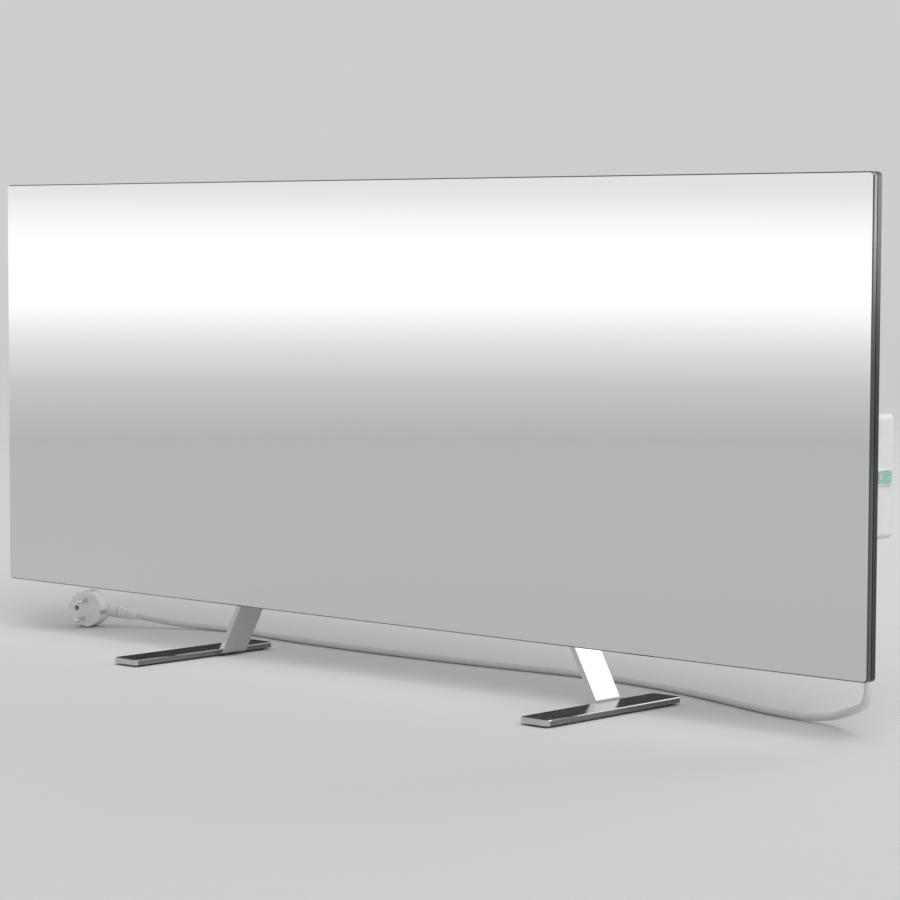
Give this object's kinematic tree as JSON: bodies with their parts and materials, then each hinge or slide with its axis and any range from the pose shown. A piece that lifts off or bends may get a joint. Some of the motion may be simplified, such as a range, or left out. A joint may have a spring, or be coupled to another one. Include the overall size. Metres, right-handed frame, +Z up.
{
  "type": "glass panel heater",
  "caption": "Free-standing electric panel heater: a mirror-finished glass slab on two bent metal feet, with a rear control box, a green rocker switch, a mains cord and a plug.",
  "frame": {"origin": "on the floor, under the middle of the panel's width and of the feet's length", "axes": "+X along the panel towards the control box, +Y backwards from the glass, +Z up"},
  "size_m": [1.05, 0.2446, 0.455],
  "materials": {
    "mirror_glass": "mirror-finished toughened glass",
    "silicone": "matt black silicone",
    "film": "dark heating film",
    "copper": "bright copper",
    "frame_metal": "dark anodised",
    "mineral_board": "pressed mineral fibre",
    "back_paint": "fine-textured light grey powder coat",
    "steel": "zinc-plated",
    "foot_metal": "bright satin chrome",
    "pad_rubber": "matt black rubber",
    "box_plastic": "fine-textured off-white",
    "switch_plastic": "off-white, satin",
    "rocker_plastic": "translucent green",
    "contact_metal": "tinned brass",
    "block_plastic": "natural nylon",
    "grommet_rubber": "black rubber",
    "cutout_case": "black moulded case",
    "lead_sleeve": "red-brown silicone sleeve",
    "cord_pvc": "light grey PVC, satin",
    "plug_pvc": "pale grey moulded PVC",
    "pin_metal": "nickel-plated"
  },
  "bodies": {
    "heater": {"front_glass": "mirror_glass", "glass_seal": "silicone", "heating_film": "film", "bus_bars": "copper", "frame_bottom": "frame_metal", "frame_top": "frame_metal", "frame_left": "frame_metal", "frame_right": "frame_metal", "corner_keys": "frame_metal", "insulation_board": "mineral_board", "back_cover": "back_paint", "back_cover_screws": "steel", "weld_nuts": "steel", "foot_right": "foot_metal", "foot_left": "foot_metal", "foot_screws": "steel", "foot_pads": "pad_rubber", "control_box_base": "box_plastic", "control_box_cover": "box_plastic", "control_box_screws": "steel", "box_fixing_screws": "steel", "switch_body": "switch_plastic", "switch_tabs": "contact_metal", "terminal_block": "block_plastic", "terminal_screws": "contact_metal", "lead_grommet": "grommet_rubber", "thermal_cutout": "cutout_case", "element_leads": "lead_sleeve", "cord_gland": "cord_pvc", "cord_tail": "cord_pvc", "cord_clamp": "block_plastic", "clamp_screws": "steel", "mains_cord": "cord_pvc", "plug_body": "plug_pvc", "plug_pins": "pin_metal", "plug_earth_contacts": "pin_metal"},
    "rocker": {"switch_rocker": "rocker_plastic"}
  },
  "joints": [
    {"name": "rocker_tilt", "type": "hinge", "parent": "heater", "child": "rocker", "pos_m": [0.5165, 0.0225, 0.2155], "axis": [0, 0, 1], "range_deg": [0, 18]}
  ]
}
